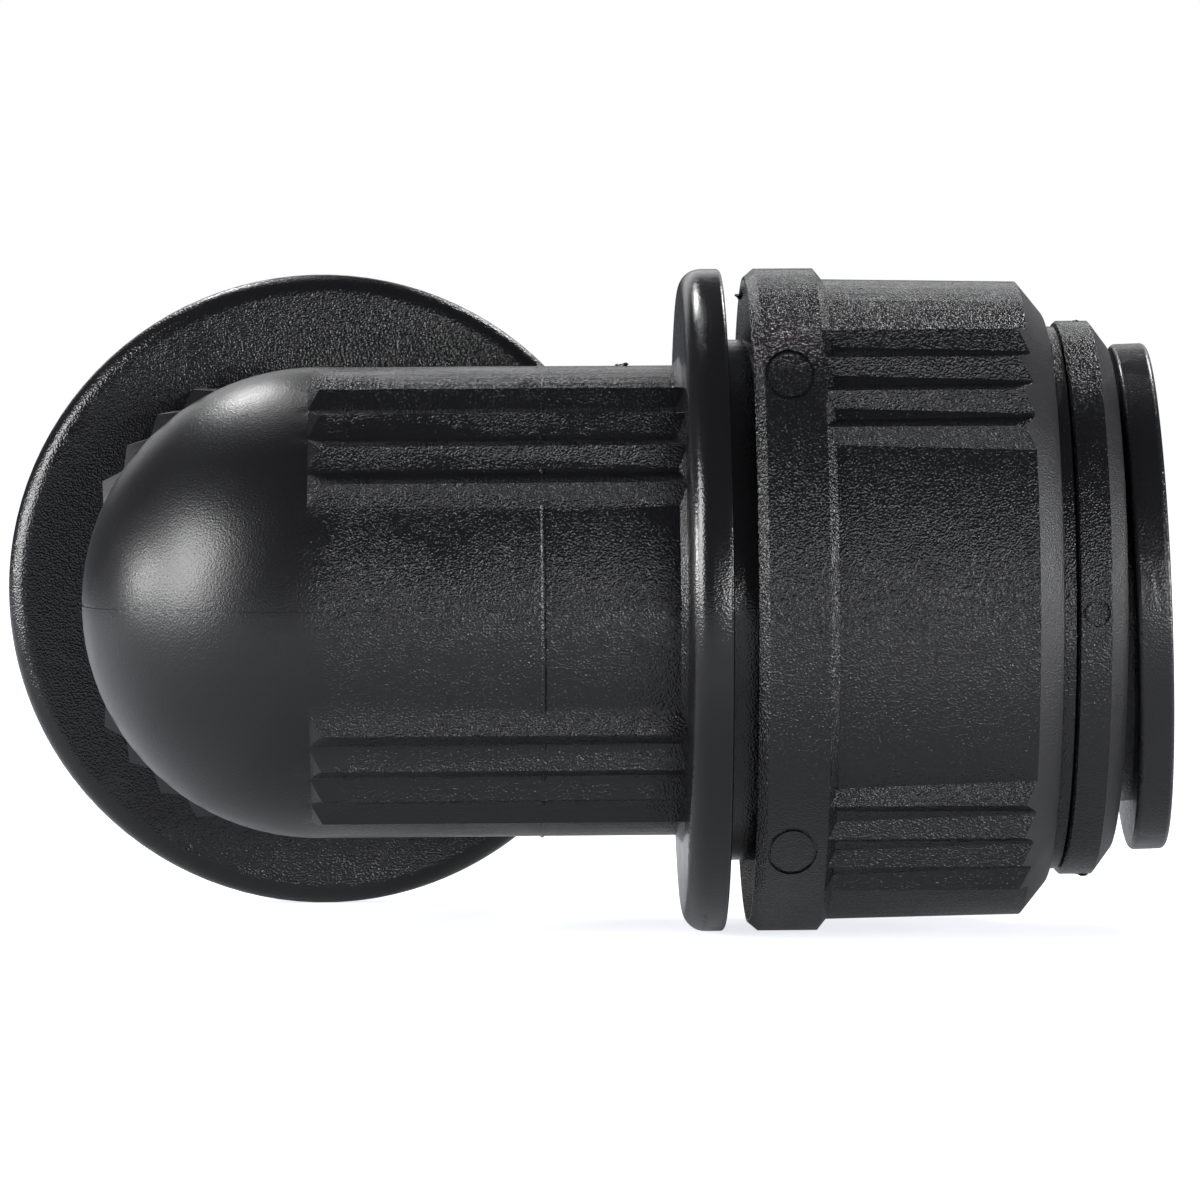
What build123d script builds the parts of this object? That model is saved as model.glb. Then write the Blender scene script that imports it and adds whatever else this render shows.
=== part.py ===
from build123d import *
import os
from math import cos, radians, sin

# Right-angle cable gland, in millimetres. The origin is the centre of the face that meets the
# panel. The mounting leg and its thread run along Y, the cable leg along X, and Z is up.
# Places along a leg are distances from the elbow's corner, where the two axes cross.
# Radii grow outwards from the cable: seals, cage, barrel, spigot, thread, nut.

# Nested seals, peeled out one by one for thicker cables.
cable_r = 10.0
seal_layers = 3
seal_wall = 2.0
seal_taper = 0.3
seal_setback = 2.65
soft_gap = 0.05

# Clamp cage: a ring with spring fingers round the seals.
cage_wall = 1.2
cage_gap = 0.2
cage_ring_length = 2.5
cage_proud = 1.0
finger_count = 12
finger_slot = 1.6
finger_tip_bevel = 0.8

# Clamp barrel: slides in the spigot, carries the seals and is held by the union nut.
tail_wall = 2.8
tail_length = 17.0
tail_chamfer = 0.6
mouth_margin = 0.4
seal_cone_length = 3.5
chamber_floor = 1.2
shoulder_thickness = 3.0
barrel_proud = 1.3
edge_break = 0.2
neck_wall = 2.6
key_width = 3.0
key_height = 1.0
key_setback = 4.0
key_gap = 0.3

# Cable bush, pushed into the cap by hand and seated a little askew.
bush_bore_r = 15.0
bush_wall = 3.5
bush_gap = 0.4
bush_flange_thickness = 3.2
bush_edge_round = 0.5
bush_mouth_round = 2.2
bush_lift = 1.3
bush_tilt_deg = 1.9
bush_swing_deg = 1.5

# End cap, screwed into the barrel.
cap_wall = 2.8
cap_thread_gap = 0.3
cap_overhang = 0.5
cap_band = 2.9
cap_chamfer_length = 1.6
cap_chamfer_depth = 2.15
cap_step = 4.0
cap_step_width = 3.4
cap_nose_bevel = 0.6

# Slip ring that keeps the cap from twisting the seals.
slip_ring_thickness = 1.5
slip_ring_margin = 0.2

# Coarse-threaded spigot of the cable leg, with a run-out groove beside the flange.
slide_gap = 0.3
spigot_wall = 2.9
thread_depth = 3.5
thread_runout = 3.0
thread_lead = 1.2
spigot_length = 19.2
socket_floor_gap = 0.5

# Flat gasket between the spigot's end and the barrel's shoulder.
gasket_thickness = 1.5

# Union nut, turned a little on its thread.
nut_gap = 2.15
nut_wall = 1.3
nut_mouth_flare = 1.6
nut_mouth_length = 1.8
nut_draft = 0.3
nut_rim = 0.9
nut_chamfer_length = 2.35
nut_end_round = 0.8
nut_turn_deg = 1.5
lip_thickness = 5.3
collar_length = 7.0
collar_margin = 0.1
collar_near_length = 0.9
collar_near_depth = 0.75
collar_far_length = 0.8
nut_rib_count = 4
nut_rib_pitch_deg = 7.5
nut_rib_height = 0.9

# Elbow: one moulding of two round legs that meet in a ball.
leg_length = 36.6
tube_wall = 4.3
flange_thickness = 3.75
flange_back_round = 2.0
flange_edge_round = 0.4

# Stiffening ribs on each leg: four groups of V-shaped teeth.
rib_group_angles = (45, 135, 225, 315)
rib_root_depth = 0.1
leg_rib_count = 4
leg_rib_pitch_deg = 10.1
leg_rib_height = 1.05
leg_rib_start = -0.6
leg_rib_bevel = 1.1

# Spigot behind the panel flange, for an M40 hole, and the flat seal let into the panel face.
panel_spigot_r = 20.0
panel_spigot_wall = 3.0
panel_spigot_length = 15.0
panel_spigot_chamfer = 1.0
panel_seal_land = 2.0
panel_seal_width = 3.0
panel_seal_thickness = 1.6

# Radii that follow from the sizes above.
cage_r = cable_r + seal_layers * seal_wall + cage_gap + cage_wall
chamber_r = cage_r + cage_gap
tail_r = chamber_r + tail_wall
inner_seals_r = cable_r + (seal_layers - 1) * seal_wall
bush_stem_r = bush_bore_r + bush_wall
cap_bore_r = bush_stem_r + bush_gap
cap_inner_r = cap_bore_r - cap_step_width
cap_thread_r = cap_bore_r + cap_wall
cap_socket_r = cap_thread_r + cap_thread_gap
barrel_neck_r = cap_socket_r + neck_wall
cap_r = barrel_neck_r + cap_overhang
cap_end_r = cap_r - cap_chamfer_depth
socket_r = tail_r + slide_gap
thread_root_r = socket_r + spigot_wall
thread_crest_r = thread_root_r + thread_depth
nut_bore_r = thread_crest_r + slide_gap
nut_end_wall_r = nut_bore_r + nut_wall
nut_body_r = nut_end_wall_r + nut_draft
nut_crest_r = nut_body_r + nut_rib_height
collar_r = nut_crest_r + collar_margin
lip_r = barrel_neck_r + slide_gap
nut_end_r = lip_r + nut_rim
flange_r = collar_r
passage_r = panel_spigot_r - panel_spigot_wall
tube_r = passage_r + tube_wall
panel_seal_inner_r = panel_spigot_r + panel_seal_land
panel_seal_outer_r = panel_seal_inner_r + panel_seal_width

# Places along the legs that follow from the sizes above.
flange_start = leg_length - flange_thickness
panel_spigot_end = leg_length + panel_spigot_length
spigot_end = leg_length + spigot_length
shoulder_start = spigot_end + gasket_thickness
lip_start = shoulder_start + shoulder_thickness
nut_start = leg_length + nut_gap
collar_end = nut_start + collar_length
nut_end = lip_start + lip_thickness
nut_chamfer_start = nut_end - nut_chamfer_length
tail_start = shoulder_start - tail_length
socket_start = tail_start - socket_floor_gap
cone_end = tail_start + seal_cone_length
chamber_end = shoulder_start + chamber_floor
cage_end = chamber_end + cage_proud
cap_nose = cage_end + slip_ring_thickness
barrel_end = nut_end + barrel_proud
cap_end = barrel_end + cap_band + cap_chamfer_length
cap_seat = cap_nose + cap_step

overshoot = 1.0
mitre = Plane(origin=(0, 0, 0), z_dir=(1, -1, 0))


def bar(radius, start, end):
    """Round bar along the leg from start to end."""
    return extrude(Plane.YZ.offset(start) * Circle(radius), end - start)


def ring(outer_r, inner_r, start, end):
    """Plain ring along the leg."""
    return extrude(Plane.YZ.offset(start) * (Circle(outer_r) - Circle(inner_r)), end - start)


def turned(*points):
    """Solid of revolution about the leg's axis from (place, radius) corners."""
    return revolve(make_face(Polyline(*points, close=True)), Axis.X)


def rib_group(angle, count, pitch_deg, surface_r, crest_r, start, end):
    """One group of V-shaped teeth side by side, centred at angle round the leg."""
    valley_r = surface_r - rib_root_depth
    first = angle - count * pitch_deg / 2
    corners = []
    for step in range(2 * count + 1):
        radius = crest_r if step % 2 else valley_r
        turn = radians(first + step * pitch_deg / 2)
        corners.append((radius * cos(turn), radius * sin(turn)))
    corners.append((0, 0))
    return extrude(Plane.YZ.offset(start) * make_face(Polyline(*corners, close=True)), end - start)


def leg_ribs():
    """Four groups of ribs from the corner to the flange, bevelled where they start."""
    crest_r = tube_r + leg_rib_height
    ribs_end = leg_length - flange_thickness / 2
    envelope = turned(
        (leg_rib_start, 0),
        (leg_rib_start, tube_r - rib_root_depth),
        (leg_rib_start + leg_rib_bevel, crest_r),
        (ribs_end, crest_r),
        (ribs_end, 0),
    )
    sizes = (leg_rib_count, leg_rib_pitch_deg, tube_r, crest_r, leg_rib_start, ribs_end)
    return [rib_group(angle, *sizes) & envelope for angle in rib_group_angles]


def flange():
    """Round flange, well rounded on the side of the tube."""
    disc = bar(flange_r, flange_start, leg_length)
    disc = fillet(disc.edges().sort_by(Axis.X)[0], flange_back_round)
    return fillet(disc.edges().sort_by(Axis.X)[-1], flange_edge_round)


def bent_bar(radius, cable_end, panel_end):
    """Round bar through both legs: two mitred halves and a quarter of a ball at the corner."""
    cable_half = split(bar(radius, 0, cable_end), bisect_by=mitre)
    panel_half = mirror(split(bar(radius, 0, panel_end), bisect_by=mitre), about=mitre)
    half_disc = make_face([Line((0, -radius), (0, radius)), CenterArc((0, 0), radius, 90, 180)])
    ball = revolve(Plane.XZ * half_disc, Axis.Z, 90)
    return cable_half + ball + panel_half


def cable_spigot():
    """Spigot that takes the union nut, with the groove where its thread runs out."""
    foot = leg_length - flange_thickness / 2
    groove_end = leg_length + thread_runout
    return turned(
        (foot, 0),
        (foot, thread_root_r),
        (groove_end, thread_root_r),
        (groove_end, thread_crest_r),
        (spigot_end - thread_lead, thread_crest_r),
        (spigot_end, thread_crest_r - thread_lead),
        (spigot_end, 0),
    )


def key_block(width, top_r, start, end):
    """Bar across the axis whose two ends are the keys, or their slots."""
    return Pos((start + end) / 2, 0, 0) * Box(end - start, width, 2 * top_r)


def panel_end():
    """Panel flange with its spigot and the groove for the flat seal."""
    spigot = bar(panel_spigot_r, flange_start, panel_spigot_end)
    spigot = chamfer(spigot.edges().sort_by(Axis.X)[-1], panel_spigot_chamfer)
    groove_floor = leg_length - panel_seal_thickness
    groove = ring(panel_seal_outer_r, panel_seal_inner_r, groove_floor, leg_length + overshoot)
    return flange() + spigot - groove


def elbow_body():
    """Elbow with both spigots, the curved passage, and the barrel's socket with its key slots."""
    ribs = leg_ribs()
    body = bent_bar(tube_r, leg_length, leg_length) + flange() + cable_spigot()
    body += mirror(panel_end(), about=mitre)
    body += ribs
    body += [mirror(group, about=mitre) for group in ribs]
    body -= bent_bar(passage_r, spigot_end + overshoot, panel_spigot_end + overshoot)
    body -= bar(socket_r, socket_start, spigot_end + overshoot)
    slot_width = key_width + 2 * key_gap
    slot_r = tail_r + key_height + key_gap
    return body - key_block(slot_width, slot_r, socket_start, spigot_end + overshoot)


def panel_seal():
    """Flat ring that fills the groove in the panel face."""
    seal = ring(
        panel_seal_outer_r - soft_gap,
        panel_seal_inner_r + soft_gap,
        leg_length - panel_seal_thickness + soft_gap,
        leg_length - soft_gap,
    )
    return mirror(seal, about=mitre)


def union_gasket():
    """Flat gasket squeezed between the spigot's end and the barrel's shoulder."""
    return ring(thread_root_r, socket_r, spigot_end, shoulder_start)


def clamp_barrel():
    """Sleeve with a shoulder for the nut, a cone for the fingers and a socket for the cap."""
    key_end = tail_start + tail_length - key_setback
    keys = key_block(key_width, tail_r + key_height, tail_start, key_end)
    barrel = turned(
        (tail_start, 0),
        (tail_start, tail_r - tail_chamfer),
        (tail_start + tail_chamfer, tail_r),
        (shoulder_start, tail_r),
        (shoulder_start, thread_crest_r),
        (lip_start, thread_crest_r),
        (lip_start, barrel_neck_r),
        (barrel_end - edge_break, barrel_neck_r),
        (barrel_end, barrel_neck_r - edge_break),
        (barrel_end, 0),
    )
    mouth_r = inner_seals_r + mouth_margin
    hollow = turned(
        (tail_start - overshoot, 0),
        (tail_start - overshoot, mouth_r),
        (tail_start, mouth_r),
        (cone_end, chamber_r),
        (chamber_end, chamber_r),
        (chamber_end, cap_socket_r),
        (barrel_end + overshoot, cap_socket_r),
        (barrel_end + overshoot, 0),
    )
    return barrel + keys - hollow


def clamp_cage():
    """Ring whose fingers are pressed inwards by the barrel's cone."""
    inner_r = cage_r - cage_wall
    tip = cone_end + cage_gap
    cage = turned(
        (tip, inner_r),
        (tip, cage_r - finger_tip_bevel),
        (tip + finger_tip_bevel, cage_r),
        (cage_end, cage_r),
        (cage_end, inner_r),
    )
    slot_end = cage_end - cage_ring_length
    slot = Box(slot_end - tip + overshoot, finger_slot, 4 * cage_wall)
    slot = Pos((tip - overshoot + slot_end) / 2, 0, cage_r) * slot
    for step in range(finger_count):
        cage -= Rot(360 * step / finger_count, 0, 0) * slot
    return cage


def seal(layer):
    """Tapered seal ring number layer, counted from the cable outwards."""
    start = cone_end + seal_setback
    end = cage_end - soft_gap
    inner_r = cable_r + layer * seal_wall
    outer_r = inner_r + seal_wall - soft_gap
    inner_taper = seal_taper if layer > 0 else 0
    outer_taper = seal_taper if layer < seal_layers - 1 else 0
    return turned(
        (start, inner_r - inner_taper),
        (start, outer_r - outer_taper),
        (end, outer_r + outer_taper),
        (end, inner_r + inner_taper),
    )


def slip_ring():
    """Low-friction washer between the cap and the cage."""
    return ring(cap_thread_r, inner_seals_r + slip_ring_margin, cage_end, cap_nose)


def end_cap():
    """Screw cap that squeezes the seals, with a socket for the cable bush."""
    return turned(
        (cap_nose, cap_inner_r),
        (cap_nose, cap_thread_r - cap_nose_bevel),
        (cap_nose + cap_nose_bevel, cap_thread_r),
        (barrel_end, cap_thread_r),
        (barrel_end, cap_r - edge_break),
        (barrel_end + edge_break, cap_r),
        (barrel_end + cap_band, cap_r),
        (cap_end, cap_end_r),
        (cap_end, cap_bore_r),
        (cap_seat, cap_bore_r),
        (cap_seat, cap_inner_r),
    )


def end_bush():
    """Bush with a rounded flange and a bell mouth, askew in its socket."""
    stem_length = cap_end - cap_seat
    total = stem_length + bush_flange_thickness
    bush = bar(bush_stem_r, 0, stem_length) + bar(cap_end_r, stem_length, total)
    rims = bush.edges().filter_by(GeomType.CIRCLE).sort_by(SortBy.RADIUS)[-2:]
    bush = fillet(rims, bush_edge_round)
    bush -= bar(bush_bore_r, -overshoot, total + overshoot)
    mouth = bush.edges().filter_by(GeomType.CIRCLE).group_by(Axis.X)[-1].sort_by(SortBy.RADIUS)[0]
    bush = fillet(mouth, bush_mouth_round)
    askew = Pos(stem_length, 0, 0) * Rot(0, -bush_tilt_deg, -bush_swing_deg) * Pos(-stem_length, 0, 0)
    return Pos(cap_seat + bush_lift, 0, 0) * askew * bush


def nut_ribs():
    """Four groups of grip ribs from the collar to the chamfer, which cuts them off too."""
    ribs_start = collar_end - collar_far_length
    slope = nut_chamfer_length / (nut_end_wall_r - nut_end_r)
    envelope = turned(
        (ribs_start, 0),
        (ribs_start, nut_crest_r),
        (nut_chamfer_start - (nut_crest_r - nut_end_wall_r) * slope, nut_crest_r),
        (nut_chamfer_start, nut_end_wall_r),
        (nut_chamfer_start, 0),
    )
    sizes = (nut_rib_count, nut_rib_pitch_deg, nut_end_wall_r, nut_crest_r, ribs_start, nut_chamfer_start)
    return [rib_group(angle, *sizes) & envelope for angle in rib_group_angles]


def union_nut():
    """Nut with a plain collar, four groups of grip ribs, and the lip that pulls the barrel in."""
    shell = turned(
        (nut_start, 0),
        (nut_start, collar_r - collar_near_depth),
        (nut_start + collar_near_length, collar_r),
        (collar_end - collar_far_length, collar_r),
        (collar_end, nut_body_r),
        (nut_chamfer_start, nut_end_wall_r),
        (nut_end, nut_end_r),
        (nut_end, 0),
    )
    shell = fillet(shell.edges().filter_by(GeomType.CIRCLE).sort_by(Axis.X)[-1], nut_end_round)
    hollow = turned(
        (nut_start - overshoot, 0),
        (nut_start - overshoot, nut_bore_r + nut_mouth_flare),
        (nut_start, nut_bore_r + nut_mouth_flare),
        (nut_start + nut_mouth_length, nut_bore_r),
        (lip_start, nut_bore_r),
        (lip_start, lip_r),
        (nut_end + overshoot, lip_r),
        (nut_end + overshoot, 0),
    )
    return Rot(nut_turn_deg, 0, 0) * (shell + nut_ribs() - hollow)


pieces = {
    "elbow_body": elbow_body(),
    "panel_seal": panel_seal(),
    "union_gasket": union_gasket(),
    "union_nut": union_nut(),
    "clamp_barrel": clamp_barrel(),
    "clamp_cage": clamp_cage(),
    "seal_core": seal(0),
    "seal_middle": seal(1),
    "seal_outer": seal(2),
    "slip_ring": slip_ring(),
    "end_cap": end_cap(),
    "end_bush": end_bush(),
}

os.makedirs("parts", exist_ok=True)
corner = Pos(0, -leg_length, 0)
for name, piece in pieces.items():
    export_step(corner * piece, f"parts/{name}.step")
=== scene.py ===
from math import cos, pi, radians, sin

import bpy
from mathutils import Matrix, Vector


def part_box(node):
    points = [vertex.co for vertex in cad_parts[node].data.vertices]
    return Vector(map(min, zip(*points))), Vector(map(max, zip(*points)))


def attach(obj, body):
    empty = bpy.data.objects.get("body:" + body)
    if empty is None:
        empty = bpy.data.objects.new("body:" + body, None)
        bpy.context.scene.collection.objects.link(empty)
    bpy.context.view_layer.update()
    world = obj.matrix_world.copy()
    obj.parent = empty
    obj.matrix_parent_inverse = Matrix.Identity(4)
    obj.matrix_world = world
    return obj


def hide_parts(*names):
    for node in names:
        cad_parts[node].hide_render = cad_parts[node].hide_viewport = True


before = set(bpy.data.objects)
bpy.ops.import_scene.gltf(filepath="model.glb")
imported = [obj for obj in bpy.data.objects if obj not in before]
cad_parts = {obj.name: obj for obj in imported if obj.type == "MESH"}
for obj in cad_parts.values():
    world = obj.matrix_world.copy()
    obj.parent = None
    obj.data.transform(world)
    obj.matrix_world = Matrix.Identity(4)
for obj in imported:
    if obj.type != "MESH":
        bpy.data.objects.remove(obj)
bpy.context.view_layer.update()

# Elbow body: one injection moulding of black glass-filled polyamide 6, with two ribbed legs,
# a ball corner and two flanges. The cable leg carries the coarse moulded thread of the union
# nut, and the spigot behind the panel flange an M40 x 1.5 thread.
mm = 0.001
end_cap_low, end_cap_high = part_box("end_cap")
leg_axis = Vector((0, (end_cap_low.y + end_cap_high.y) / 2, 0))
tube_r = 21.3 * mm
flange_thickness = 3.75 * mm
flange_face_x = -leg_axis.y
flange_back_x = flange_face_x - flange_thickness
coarse_pitch = 6 * mm
coarse_root_r = 23.6 * mm
coarse_crest_r = 27.1 * mm
coarse_root_width = 4.2 * mm
coarse_crest_width = 2.0 * mm
coarse_start = flange_face_x + 2.6 * mm
coarse_turns = 2.37
runout_end = flange_face_x + 3.0 * mm
spigot_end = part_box("union_gasket")[0].x
panel_pitch = 1.5 * mm
panel_crest_r = 20 * mm
panel_thread_depth = 0.92 * mm
panel_root_width = panel_pitch / 4
panel_mouth_width = panel_pitch * 15 / 16
panel_start = 1.4 * mm
panel_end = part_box("elbow_body")[1].y + panel_pitch
cable_way = Vector((1, 0, 0))
panel_way = Vector((0, 1, 0))
frontward = Vector((0, -1, 0))

# A thread has this many steps in each turn. What is joined on starts a little inside its piece,
# a cutter reaches clear past it, and points that touch are made one.
steps_per_turn = 96
sunk = 0.1 * mm
clear = 1 * mm
touching = 1e-6


def choose(piece):
    """Makes the piece the only selected object, and the active one."""
    bpy.ops.object.select_all(action="DESELECT")
    piece.select_set(True)
    bpy.context.view_layer.objects.active = piece


def merged_copy(node_name, piece_name):
    """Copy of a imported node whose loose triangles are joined, to take real detail."""
    piece = bpy.data.objects.new(piece_name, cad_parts[node_name].data.copy())
    piece.data.name = piece_name
    bpy.context.scene.collection.objects.link(piece)
    choose(piece)
    bpy.ops.mesh.customdata_custom_splitnormals_clear()
    bpy.ops.object.mode_set(mode="EDIT")
    bpy.ops.mesh.select_all(action="SELECT")
    bpy.ops.mesh.remove_doubles(threshold=touching)
    bpy.ops.object.mode_set(mode="OBJECT")
    return piece


def wound_bar(name, along, outward, centre, corners, pitch, turns):
    """Closed bar with four (place, radius) corners, wound round a leg's axis like a thread."""
    bpy.ops.object.select_all(action="DESELECT")
    bpy.ops.mesh.primitive_plane_add(size=1, location=centre)
    bar = bpy.context.object
    bar.name = name
    for vertex, (place, radius) in zip(bar.data.vertices, corners):
        vertex.co = along * place + outward * radius
    winding = bar.modifiers.new("winding", "SCREW")
    winding.axis = "X" if along.x else "Y"
    winding.angle = 2 * pi * turns
    winding.screw_offset = pitch * turns
    winding.steps = winding.render_steps = round(steps_per_turn * turns)
    winding.use_merge_vertices = pitch == 0
    bpy.ops.object.modifier_apply(modifier="winding")
    bpy.ops.object.mode_set(mode="EDIT")
    bpy.ops.mesh.select_all(action="SELECT")
    bpy.ops.mesh.fill_holes(sides=4)
    bpy.ops.mesh.select_all(action="SELECT")
    bpy.ops.mesh.normals_make_consistent(inside=False)
    bpy.ops.object.mode_set(mode="OBJECT")
    bpy.ops.object.transform_apply(location=True, rotation=True, scale=True)
    return bar


def leg_ring(name, low_x, high_x, low_r, high_r):
    """Plain ring about the cable leg's axis."""
    corners = [(low_x, low_r), (high_x, low_r), (low_x, high_r), (high_x, high_r)]
    return wound_bar(name, cable_way, frontward, leg_axis, corners, 0, 1)


def combine(piece, tool, operation):
    """Joins the tool's shape to the piece or cuts it out, and takes the tool away."""
    step = piece.modifiers.new("combine", "BOOLEAN")
    step.operation = operation
    step.solver = "MANIFOLD"
    step.object = tool
    choose(piece)
    bpy.ops.object.modifier_apply(modifier="combine")
    bpy.data.objects.remove(tool)


def smoothed(piece, angle=30):
    """Shades the piece smooth, apart from edges sharper than the angle."""
    choose(piece)
    bpy.ops.object.shade_smooth_by_angle(angle=radians(angle))


def speck(piece, place, reach):
    """Adds a small torn flake of moulding flash at the place."""
    bpy.ops.object.select_all(action="DESELECT")
    bpy.ops.mesh.primitive_ico_sphere_add(subdivisions=2, radius=1, location=place)
    flake = bpy.context.object
    least, swing = 0.72, 0.28
    for vertex in flake.data.vertices:
        torn = least + swing * sin(7 * vertex.co.x + 11 * vertex.co.y + 5 * vertex.co.z)
        vertex.co = Vector(axis * torn * size for axis, size in zip(vertex.co, reach))
    bpy.ops.object.transform_apply(location=True, rotation=True, scale=True)
    combine(piece, flake, "UNION")


elbow = merged_copy("elbow_body", "elbow_moulding")
blank = leg_ring("thread_blank", runout_end - sunk, spigot_end + sunk,
                 coarse_root_r, coarse_crest_r + clear)
combine(elbow, blank, "DIFFERENCE")
ridge = [
    (coarse_start - coarse_root_width / 2, coarse_root_r - sunk),
    (coarse_start + coarse_root_width / 2, coarse_root_r - sunk),
    (coarse_start - coarse_crest_width / 2, coarse_crest_r),
    (coarse_start + coarse_crest_width / 2, coarse_crest_r),
]
# It starts behind the part, as no crest shows in the front of the gap beside the flange.
ridge_bar = wound_bar("ridge", cable_way, -frontward, leg_axis,
                      ridge, coarse_pitch, coarse_turns)
combine(elbow, ridge_bar, "UNION")
groove = [
    (panel_start - panel_root_width / 2, panel_crest_r - panel_thread_depth),
    (panel_start + panel_root_width / 2, panel_crest_r - panel_thread_depth),
    (panel_start - panel_mouth_width / 2, panel_crest_r + sunk),
    (panel_start + panel_mouth_width / 2, panel_crest_r + sunk),
]
panel_turns = (panel_end - panel_start) / panel_pitch
groove_bar = wound_bar("groove", panel_way, cable_way, Vector(),
                       groove, panel_pitch, panel_turns)
combine(elbow, groove_bar, "DIFFERENCE")

# The mould leaves its marks on the elbow: a cove where the leg meets the flange, a fine ridge
# round the leg where two inserts meet, a fine groove along the mould's parting line, and a
# torn speck of flash on top.
cove_length = 0.6 * mm
cove_height = 0.9 * mm
seam_x = 20.2 * mm
seam_width = 0.7 * mm
seam_crest_width = 0.12 * mm
seam_height = 0.14 * mm
parting_width = 0.18 * mm
parting_depth = 0.14 * mm
parting_steps = 24
top_flash_x = 27.7 * mm
cove = [
    (flange_back_x - cove_length, tube_r - sunk),
    (flange_back_x + sunk, tube_r - sunk),
    (flange_back_x - cove_length, tube_r),
    (flange_back_x + sunk, tube_r + cove_height),
]
combine(elbow, wound_bar("cove", cable_way, frontward, leg_axis, cove, 0, 1), "UNION")
seam = [
    (seam_x - seam_width / 2, tube_r - sunk),
    (seam_x + seam_width / 2, tube_r - sunk),
    (seam_x - seam_crest_width / 2, tube_r + seam_height),
    (seam_x + seam_crest_width / 2, tube_r + seam_height),
]
combine(elbow, wound_bar("seam", cable_way, frontward, leg_axis, seam, 0, 1), "UNION")
bpy.ops.object.select_all(action="DESELECT")
bpy.ops.mesh.primitive_cube_add(size=1, location=(flange_back_x, leg_axis.y - tube_r, 0))
parting = bpy.context.object
parting.scale = (2 * sunk, 2 * parting_depth, parting_width)
bpy.ops.object.transform_apply(location=True, rotation=True, scale=True)
bpy.ops.object.mode_set(mode="EDIT")
bpy.ops.mesh.select_all(action="DESELECT")
bpy.ops.object.mode_set(mode="OBJECT")
for vertex in parting.data.vertices:
    vertex.select = vertex.co.x < flange_back_x
bpy.ops.object.mode_set(mode="EDIT")
along_leg = (sunk - flange_back_x, 0, 0)
bpy.ops.mesh.extrude_region_move(TRANSFORM_OT_translate={"value": along_leg})
bpy.ops.mesh.spin(steps=parting_steps, angle=pi / 2, center=leg_axis, axis=(0, 0, 1))
to_panel_flange = (0, flange_back_x, 0)
bpy.ops.mesh.extrude_region_move(TRANSFORM_OT_translate={"value": to_panel_flange})
bpy.ops.mesh.select_all(action="SELECT")
bpy.ops.mesh.remove_doubles(threshold=touching)
bpy.ops.mesh.normals_make_consistent(inside=False)
bpy.ops.object.mode_set(mode="OBJECT")
combine(elbow, parting, "DIFFERENCE")
speck(elbow, place=(top_flash_x, leg_axis.y, tube_r), reach=(0.8 * mm, 0.4 * mm, 0.35 * mm))
smoothed(elbow)
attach(elbow, "elbow")
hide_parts("elbow_body")


def colour(code):
    """Linear colour of an sRGB hex value."""
    levels = [int(code[place:place + 2], 16) / 255 for place in (1, 3, 5)]
    linear = [v / 12.92 if v <= 0.04045 else ((v + 0.055) / 1.055) ** 2.4 for v in levels]
    return (*linear, 1)


def add(tree, kind, settings, inputs):
    """Adds one node with its settings, and gives its inputs their values or links."""
    made = tree.nodes.new("ShaderNode" + kind)
    for name, value in settings.items():
        setattr(made, name, value)
    for name, value in inputs.items():
        if isinstance(value, bpy.types.NodeSocket):
            tree.links.new(value, made.inputs[name])
        else:
            made.inputs[name].default_value = value
    return made


def new_material(name):
    """Empty material, with the Object coordinates that its patterns use."""
    material = bpy.data.materials.new(name)
    material.use_nodes = True
    tree = material.node_tree
    tree.nodes.clear()
    return material, tree, add(tree, "TexCoord", {}, {}).outputs["Object"]


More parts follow.
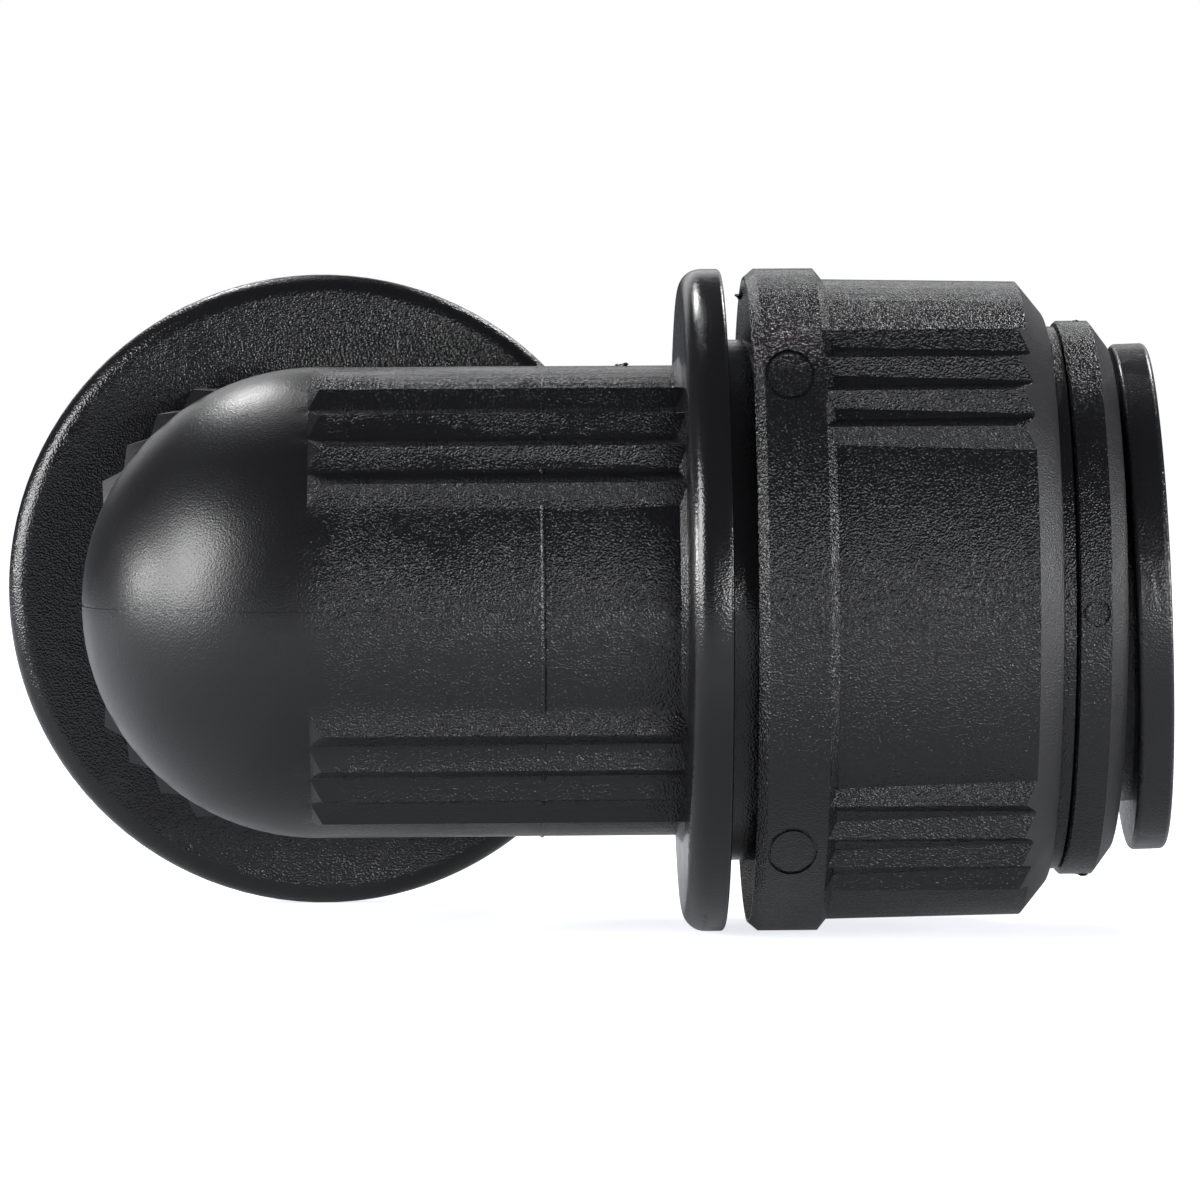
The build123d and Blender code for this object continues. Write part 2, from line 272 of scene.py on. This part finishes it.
def moulded_skin(name, dark, rubbed, pit, depth, wrinkle_depth, roughness,
                 uneven=0.5, zones=None):
    """Plastic or rubber with its mould's grain: pits that glitter, in patches, and wrinkles.

    Colours are for the darkest and the most rubbed places. The pits lose the uneven share of
    their depth in patches, and zones gives the piece's own shares of pits and wrinkles.
    """
    fine_share = 1.3
    patch_size = 7 * mm
    patch_from, patch_to = 0.5, 0.66
    wrinkle_size = 0.18 * mm
    rubbing = 0.03
    rubbed_from, rubbed_to = 0.3, 0.7
    satin = 0.12
    material, tree, place = new_material(name)
    cells = add(tree, "TexVoronoi", {"feature": "SMOOTH_F1"},
                {"Vector": place, "Scale": 1 / pit, "Smoothness": 0.4, "Randomness": 1.0})
    fine = add(tree, "TexNoise", {}, {"Vector": place, "Scale": fine_share / pit, "Detail": 1.0})
    broad = add(tree, "TexNoise", {},
                {"Vector": place, "Scale": 1 / patch_size, "Detail": 4.0,
                 "Roughness": 0.6, "Distortion": 0.6})
    pit_depth = add(tree, "MapRange", {"interpolation_type": "SMOOTHSTEP"},
                    {"Value": broad.outputs["Fac"], "From Min": patch_from, "From Max": patch_to,
                     "To Min": depth, "To Max": depth * (1 - uneven)}).outputs["Result"]
    if zones:
        pitted, wrinkled = zones(tree, place)
        pit_depth = add(tree, "Math", {"operation": "MULTIPLY"},
                        {0: pit_depth, 1: pitted}).outputs[0]
        wrinkle_depth = add(tree, "Math", {"operation": "MULTIPLY"},
                            {0: wrinkled, 1: wrinkle_depth}).outputs[0]
    relief = add(tree, "Math", {"operation": "ADD"},
                 {0: fine.outputs["Fac"], 1: cells.outputs["Distance"]})
    pits = add(tree, "Math", {"operation": "MULTIPLY"}, {0: relief.outputs[0], 1: pit_depth})
    wrinkles = add(tree, "TexNoise", {},
                   {"Vector": place, "Scale": 1 / wrinkle_size, "Detail": 1.0,
                    "Distortion": 0.4})
    height = add(tree, "Math", {"operation": "MULTIPLY_ADD"},
                 {0: wrinkles.outputs["Fac"], 1: wrinkle_depth, 2: pits.outputs[0]})
    grained = add(tree, "Bump", {}, {"Height": height.outputs[0], "Distance": 1.0})
    tint = add(tree, "Mix", {"data_type": "RGBA"},
               {"Factor": broad.outputs["Fac"], "A": colour(dark), "B": colour(rubbed)})
    rough = add(tree, "MapRange", {},
                {"Value": broad.outputs["Fac"],
                 "From Min": rubbed_from, "From Max": rubbed_to,
                 "To Min": roughness + rubbing,
                 "To Max": roughness - rubbing}).outputs["Result"]
    if zones:
        rough = add(tree, "Math", {"operation": "MULTIPLY_ADD"},
                    {0: wrinkled, 1: satin, 2: rough}).outputs[0]
    shader = add(tree, "BsdfPrincipled", {},
                 {"Base Color": tint.outputs["Result"], "Roughness": rough,
                  "IOR": 1.53, "Normal": grained.outputs[0]})
    add(tree, "OutputMaterial", {}, {"Surface": shader.outputs[0]})
    return material


def finish_with(piece, material):
    """Gives the piece this one material."""
    piece.data.materials.clear()
    piece.data.materials.append(material)


def leathery_ball(tree, place):
    """Shares of pits and wrinkles: wrinkles on the ball, pits on the leg, few on the flanges."""
    ball_from_r, ball_to_r = tube_r + mm, tube_r + 4 * mm
    ball_from_x, ball_to_x = -2 * mm, 3 * mm
    smoothed_on_ball = -0.9
    cable_flange_share = 0.2
    panel_flange_share = 0.45
    parts = add(tree, "SeparateXYZ", {}, {"Vector": place})
    from_corner = add(tree, "VectorMath", {"operation": "DISTANCE"}, {0: place, 1: leg_axis})
    near = add(tree, "MapRange", {"interpolation_type": "SMOOTHSTEP"},
               {"Value": from_corner.outputs["Value"], "From Min": ball_from_r,
                "From Max": ball_to_r, "To Min": 1.0, "To Max": 0.0})
    ball_end = add(tree, "MapRange", {"interpolation_type": "SMOOTHSTEP"},
                   {"Value": parts.outputs["X"], "From Min": ball_from_x,
                    "From Max": ball_to_x, "To Min": 1.0, "To Max": 0.0})
    ball = add(tree, "Math", {"operation": "MULTIPLY"},
               {0: near.outputs["Result"], 1: ball_end.outputs["Result"]})
    cable_flange = add(tree, "MapRange", {"interpolation_type": "SMOOTHSTEP"},
                       {"Value": parts.outputs["X"], "From Min": flange_back_x - mm,
                        "From Max": flange_back_x + 0.5 * mm,
                        "To Min": 1.0, "To Max": cable_flange_share})
    panel_flange = add(tree, "MapRange", {"interpolation_type": "SMOOTHSTEP"},
                       {"Value": parts.outputs["Y"], "From Min": -flange_thickness - mm,
                        "From Max": 0.5 * mm - flange_thickness,
                        "To Min": 1.0, "To Max": panel_flange_share})
    flanges = add(tree, "Math", {"operation": "MULTIPLY"},
                  {0: panel_flange.outputs["Result"], 1: cable_flange.outputs["Result"]})
    off_ball = add(tree, "Math", {"operation": "MULTIPLY_ADD"},
                   {0: ball.outputs[0], 1: smoothed_on_ball, 2: 1.0})
    pitted = add(tree, "Math", {"operation": "MULTIPLY"},
                 {0: off_ball.outputs[0], 1: flanges.outputs[0]})
    return pitted.outputs[0], ball.outputs[0]


# Polyamide from a spark-eroded mould has pits of a fifth of a millimetre, which glitter against
# its black. The ball is smoother, with fine wrinkles that give it a leathery satin.
pit_size = 0.21 * mm
elbow_skin = moulded_skin("eroded_elbow_polyamide", dark="#0e0e10", rubbed="#161618",
                          pit=pit_size, depth=0.07 * mm, wrinkle_depth=0.024 * mm,
                          roughness=0.18, uneven=0.4, zones=leathery_ball)
finish_with(elbow, elbow_skin)

# Panel seal: flat ring of black EPDM rubber, pressed into the groove of the panel flange so
# that it stands proud of the face. Pressed rubber is matt, with a faint grain from its mould,
# which is finer in reality and drawn this coarse so that it shows.
seal_skin = moulded_skin("pressed_epdm", dark="#141414", rubbed="#1b1b1b",
                         pit=0.15 * mm, depth=0.01 * mm, wrinkle_depth=0.005 * mm,
                         roughness=0.6)
finish_with(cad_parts["panel_seal"], seal_skin)

# Union gasket: flat ring of the same EPDM rubber, stamped and laid on the barrel's shoulder.
# The spigot's end squeezes it when the union nut is tightened.
finish_with(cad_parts["union_gasket"], seal_skin)

# Clamp barrel: black polyamide, moulded in eroded steel. It holds the seals, and the union nut
# pulls it against the spigot. Its end stands out of the nut as a thin ring, with part of the
# mark that an ejector pin left.
rim_r = 24.6 * mm
rim_mark_x = 67.2 * mm
rim_mark_z = -0.45 * mm
mark_r = 2.2 * mm
mark_width = 0.3 * mm
mark_depth = 0.13 * mm
mark_corners = 48


def pin_mark(piece, surface_r, low_x, high_x, centre_x, centre_z,
             radius=mark_r, width=mark_width, depth=mark_depth):
    """Round groove that an ejector pin leaves, square to the mould's parting plane."""
    skin = leg_ring("skin", low_x, high_x, surface_r - depth, surface_r + clear)
    centre = (centre_x, leg_axis.y - surface_r, centre_z)
    bpy.ops.object.select_all(action="DESELECT")
    bpy.ops.mesh.primitive_cylinder_add(vertices=mark_corners, radius=radius, depth=surface_r,
                                        rotation=(pi / 2, 0, 0), location=centre)
    pin = bpy.context.object
    bpy.ops.object.transform_apply(location=True, rotation=True, scale=True)
    bpy.ops.mesh.primitive_cylinder_add(vertices=mark_corners, radius=radius - width,
                                        depth=surface_r + clear,
                                        rotation=(pi / 2, 0, 0), location=centre)
    core = bpy.context.object
    bpy.ops.object.transform_apply(location=True, rotation=True, scale=True)
    combine(pin, core, "DIFFERENCE")
    combine(skin, pin, "INTERSECT")
    combine(piece, skin, "DIFFERENCE")


barrel = merged_copy("clamp_barrel", "clamp_barrel_moulding")
nut_low, nut_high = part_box("union_nut")
barrel_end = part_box("clamp_barrel")[1].x
pin_mark(barrel, rim_r, nut_high.x - clear, barrel_end + clear, rim_mark_x, rim_mark_z)
smoothed(barrel)
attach(barrel, "barrel")
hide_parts("clamp_barrel")
# Its eroded grain glitters as the elbow's does, on a slightly greyer black.
barrel_skin = moulded_skin("eroded_barrel_polyamide", dark="#111113", rubbed="#19191c",
                           pit=pit_size, depth=0.06 * mm, wrinkle_depth=0.0,
                           roughness=0.2, uneven=0.2)
finish_with(barrel, barrel_skin)

# Clamp cage: ring of twelve spring fingers in polished-mould polyamide. It is dropped into the
# barrel, where the cap presses its fingers on the outer seal. It is smooth, with a soft sheen,
# and its faint grain is drawn coarser than the real one.
cage_skin = moulded_skin("moulded_cage_polyamide", dark="#161617", rubbed="#1e1e20",
                         pit=0.2 * mm, depth=0.01 * mm, wrinkle_depth=0.005 * mm,
                         roughness=0.4)
finish_with(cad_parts["clamp_cage"], cage_skin)

# Nested seals: three tapered sleeves of EPDM rubber, one in the other, inside the cage. The
# inner ones are peeled out for thicker cables.
for ring_name in ("seal_core", "seal_middle", "seal_outer"):
    finish_with(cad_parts[ring_name], seal_skin)

# Union nut: black polyamide, with a plain collar, four groups of ribs for the hand and a coarse
# inner thread that draws the barrel to the elbow. Two ejector pins mark its collar. The grain
# glitters, but the bevelled end was cut into smoother steel and looks bluish grey.
nut = merged_copy("union_nut", "union_nut_moulding")
nut_thread_start = coarse_start + coarse_pitch / 2
nut_thread_root_r = coarse_crest_r + 0.5 * mm
nut_thread_crest_r = coarse_root_r + 0.4 * mm
nut_thread_root_width = 3.68 * mm
nut_thread_crest_width = 1.56 * mm
nut_thread_turns = 2.0
inner_ridge = [
    (nut_thread_start - nut_thread_crest_width / 2, nut_thread_crest_r),
    (nut_thread_start + nut_thread_crest_width / 2, nut_thread_crest_r),
    (nut_thread_start - nut_thread_root_width / 2, nut_thread_root_r),
    (nut_thread_start + nut_thread_root_width / 2, nut_thread_root_r),
]
inner_bar = wound_bar("inner_ridge", cable_way, -frontward, leg_axis,
                      inner_ridge, coarse_pitch, nut_thread_turns)
combine(nut, inner_bar, "UNION")
collar_r = leg_axis.y - nut_low.y
collar_width = 6 * mm
collar_mark_x = 41.9 * mm
for collar_mark_z in (20.5 * mm, -21.4 * mm):
    pin_mark(nut, collar_r, nut_low.x + clear, nut_low.x + collar_width,
             collar_mark_x, collar_mark_z)
speck(nut, place=(nut_low.x, leg_axis.y + 9.2 * mm, 27.6 * mm),
      reach=(0.5 * mm, 0.4 * mm, 0.4 * mm))
smoothed(nut)
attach(nut, "union_nut")
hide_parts("union_nut")
# The nut's grain is the deepest, and glitters most and most evenly.
nut_skin = moulded_skin("eroded_nut_polyamide", dark="#0e0e10", rubbed="#161618",
                        pit=pit_size, depth=0.078 * mm, wrinkle_depth=0.0,
                        roughness=0.17, uneven=0.1)
finish_with(nut, nut_skin)
bevel_length = 8 * mm


def finish_chamfers(piece, end_length, material):
    """Gives the finer material to the sloping faces in this length of the piece's far end."""
    inside_r = 22 * mm
    least_slope, most_slope = 0.3, 0.97
    piece.data.materials.append(material)
    far_end = max(vertex.co.x for vertex in piece.data.vertices)
    for face in piece.data.polygons:
        from_axis = Vector((0, face.center.y, face.center.z)) - leg_axis
        outer = from_axis.length > inside_r and face.normal.dot(from_axis) > 0
        at_end = face.center.x > far_end - end_length
        if outer and at_end and least_slope < face.normal.x < most_slope:
            face.material_index = 1


# The bevels' finer grain scatters the light, so they are an even, duller grey.
bevel_skin = moulded_skin("fine_eroded_polyamide", dark="#131315", rubbed="#19191c",
                          pit=0.18 * mm, depth=0.035 * mm, wrinkle_depth=0.0,
                          roughness=0.44, uneven=0.2)
finish_chamfers(nut, bevel_length, bevel_skin)

# Slip ring: flat washer pressed from natural acetal, laid on the seals so that the turning cap
# doesn't twist them. It is off-white, smooth and a little waxy, and its faint grain is drawn
# coarser than the real one.
ring_skin = moulded_skin("pressed_acetal", dark="#b9b8b0", rubbed="#c6c5bd",
                         pit=0.3 * mm, depth=0.004 * mm, wrinkle_depth=0.003 * mm,
                         roughness=0.35)
finish_with(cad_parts["slip_ring"], ring_skin)

# End cap: black polyamide, screwed into the barrel's mouth by its own 2 mm thread. Its rim
# carries a small ejector mark and two flakes of flash.
cap = merged_copy("end_cap", "end_cap_moulding")
cap_pitch = 2 * mm
cap_thread_r = 21.7 * mm
cap_thread_depth = 0.8 * mm
cap_root_width = 0.5 * mm
cap_mouth_width = 1.3 * mm
cap_turns = 2.7
cap_thread_start = end_cap_low.x - 0.2 * mm
cap_groove = [
    (cap_thread_start - cap_root_width / 2, cap_thread_r - cap_thread_depth),
    (cap_thread_start + cap_root_width / 2, cap_thread_r - cap_thread_depth),
    (cap_thread_start - cap_mouth_width / 2, cap_thread_r + sunk),
    (cap_thread_start + cap_mouth_width / 2, cap_thread_r + sunk),
]
cap_groove_bar = wound_bar("cap_groove", cable_way, frontward, leg_axis,
                           cap_groove, cap_pitch, cap_turns)
combine(cap, cap_groove_bar, "DIFFERENCE")
cap_rim_r = 25.0 * mm
pin_mark(cap, cap_rim_r + sunk, barrel_end + 0.3 * mm, barrel_end + 2.9 * mm,
         centre_x=68.4 * mm, centre_z=-0.45 * mm,
         radius=1.25 * mm, width=0.34 * mm, depth=0.45 * mm)
speck(cap, place=(68.5 * mm, leg_axis.y - 1.3 * mm, cap_rim_r),
      reach=(0.7 * mm, 0.3 * mm, 0.22 * mm))
speck(cap, place=(69.1 * mm, leg_axis.y - 1.9 * mm, -cap_rim_r),
      reach=(0.9 * mm, 0.3 * mm, 0.25 * mm))
smoothed(cap)
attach(cap, "cap")
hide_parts("end_cap")
# The cap's grain is like the barrel's, and its bevel is as dull as the nut's.
cap_skin = moulded_skin("eroded_cap_polyamide", dark="#111113", rubbed="#19191c",
                        pit=pit_size, depth=0.07 * mm, wrinkle_depth=0.0,
                        roughness=0.2, uneven=0.2)
finish_with(cap, cap_skin)
finish_chamfers(cap, bevel_length, bevel_skin)

# End bush: bell-mouthed bush of black polyamide, pushed into the cap by hand, and so a little
# askew. Its mould was polished more than the others', which leaves the disc glossier.
bush_skin = moulded_skin("eroded_bush_polyamide", dark="#111113", rubbed="#19191c",
                         pit=pit_size, depth=0.028 * mm, wrinkle_depth=0.004 * mm,
                         roughness=0.28, uneven=0.9)
finish_with(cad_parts["end_bush"], bush_skin)

# Floor: a plain pale sheet under the part, which lies on the rims of its flanges and collar.
# It glows white to the camera but hardly in the plastic's reflections, so the black stays deep.
floor_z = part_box("union_nut")[0].z
floor_size = 8
fade_from, fade_to = 0.15, 1.2
near_glow, far_glow = 0.82, 1.0
mirrored_glow = 0.08
bpy.ops.object.select_all(action="DESELECT")
bpy.ops.mesh.primitive_plane_add(size=floor_size, location=(0, 0, floor_z))
floor = bpy.context.object
floor.name = "floor"
material, tree, place = new_material("pale_floor")
ray = add(tree, "LightPath", {}, {})
glossy_glow = add(tree, "Math", {"operation": "MULTIPLY"},
                  {0: ray.outputs["Is Glossy Ray"], 1: mirrored_glow})
far = add(tree, "VectorMath", {"operation": "LENGTH"}, {0: place})
camera_glow = add(tree, "MapRange", {"interpolation_type": "SMOOTHSTEP"},
                  {"Value": far.outputs["Value"], "From Min": fade_from, "From Max": fade_to,
                   "To Min": near_glow, "To Max": far_glow})
glow_level = add(tree, "Math", {"operation": "MULTIPLY_ADD"},
                 {0: ray.outputs["Is Camera Ray"], 1: camera_glow.outputs["Result"],
                  2: glossy_glow.outputs[0]})
paper = add(tree, "BsdfDiffuse", {}, {"Color": colour("#e6e8ec")})
glow = add(tree, "Emission", {}, {"Color": colour("#f8faff"), "Strength": glow_level.outputs[0]})
both = add(tree, "AddShader", {}, {0: paper.outputs[0], 1: glow.outputs[0]})
add(tree, "OutputMaterial", {}, {"Surface": both.outputs[0]})
finish_with(floor, material)

# Room: dim all round, and white where the camera looks past the part.
room_glow = 0.1
world = bpy.data.worlds.new("studio")
bpy.context.scene.world = world
world.use_nodes = True
world.node_tree.nodes.clear()
ray = add(world.node_tree, "LightPath", {}, {})
room = add(world.node_tree, "Background", {},
           {"Color": colour("#f2f5ff"), "Strength": room_glow})
white = add(world.node_tree, "Background", {}, {"Color": colour("#ffffff"), "Strength": 1.0})
seen = add(world.node_tree, "Math", {"operation": "MAXIMUM"},
           {0: ray.outputs["Is Camera Ray"], 1: ray.outputs["Is Transmission Ray"]})
picked = add(world.node_tree, "MixShader", {},
             {0: seen.outputs[0], 1: room.outputs[0], 2: white.outputs[0]})
add(world.node_tree, "OutputWorld", {}, {"Surface": picked.outputs[0]})

# Lamps: low ones in front and at the sides, whose reflections draw the bright bands on the ball,
# the leg and the nut, and higher ones behind, which light the upper edges. Each is named for
# where it stands, with its azimuth and elevation in degrees and its width and height in metres.
lamp_distance = 0.9
lamp_target = Vector((25 * mm, leg_axis.y, 0))


def soft_lamp(name, azimuth, elevation, width, height, radiance):
    """Soft lamp that faces the part; its azimuth goes from the front round to the right."""
    turn, rise = radians(azimuth), radians(elevation)
    way = Vector((sin(turn) * cos(rise), -cos(turn) * cos(rise), sin(rise)))
    bpy.ops.object.select_all(action="DESELECT")
    bpy.ops.object.light_add(type="AREA", location=lamp_target + way * lamp_distance)
    lamp = bpy.context.object
    lamp.name = name
    lamp.visible_camera = False
    lamp.rotation_mode = "QUATERNION"
    lamp.rotation_quaternion = (-way).to_track_quat("-Z", "Y")
    lamp.data.shape = "RECTANGLE"
    lamp.data.size = width
    lamp.data.size_y = height
    lamp.data.energy = radiance * pi * width * height


soft_lamp("left_lamp", -92, 8, 0.2, 0.16, 24)
soft_lamp("left_front_lamp", -67, 16, 0.42, 0.5, 12)
soft_lamp("front_lamp", 17, 4, 0.26, 0.12, 17)
soft_lamp("front_right_lamp", 37, 8, 0.2, 0.2, 10)
soft_lamp("right_lamp", 86, 6, 0.34, 0.14, 30)
soft_lamp("back_right_lamp", 150, 40, 0.22, 0.2, 13)
soft_lamp("back_left_lamp", -158, 43, 0.16, 0.16, 18)
soft_lamp("back_top_lamp", -155, 60, 0.3, 0.2, 1.8)
soft_lamp("back_low_lamp", 180, 18, 0.9, 0.24, 0.9)

# Camera: the photograph's viewpoint, level with the part and about 65 cm from it.
yaw, pitch, roll = radians(1.3), radians(2.15), radians(-0.37)
distance = 646 * mm
aside, aloft = 25.6 * mm, 0.25 * mm
focal_length_px = 7130
image_px = 1200
sensor_mm = 36
nearest = 50 * mm
ahead = Vector((sin(yaw) * cos(pitch), cos(yaw) * cos(pitch), -sin(pitch)))
level_right = Vector((cos(yaw), -sin(yaw), 0))
level_up = level_right.cross(ahead)
right = level_right * cos(roll) + level_up * sin(roll)
up = level_up * cos(roll) - level_right * sin(roll)
bpy.ops.object.select_all(action="DESELECT")
bpy.ops.object.camera_add()
camera = bpy.context.object
turned = Matrix((right, up, -ahead)).transposed().to_4x4()
stand = leg_axis - ahead * distance + right * aside + up * aloft
camera.matrix_world = Matrix.Translation(stand) @ turned
camera.data.sensor_width = sensor_mm
camera.data.lens = focal_length_px / image_px * sensor_mm
camera.data.clip_start = nearest
bpy.context.scene.camera = camera
bpy.context.scene.view_settings.view_transform = "Standard"
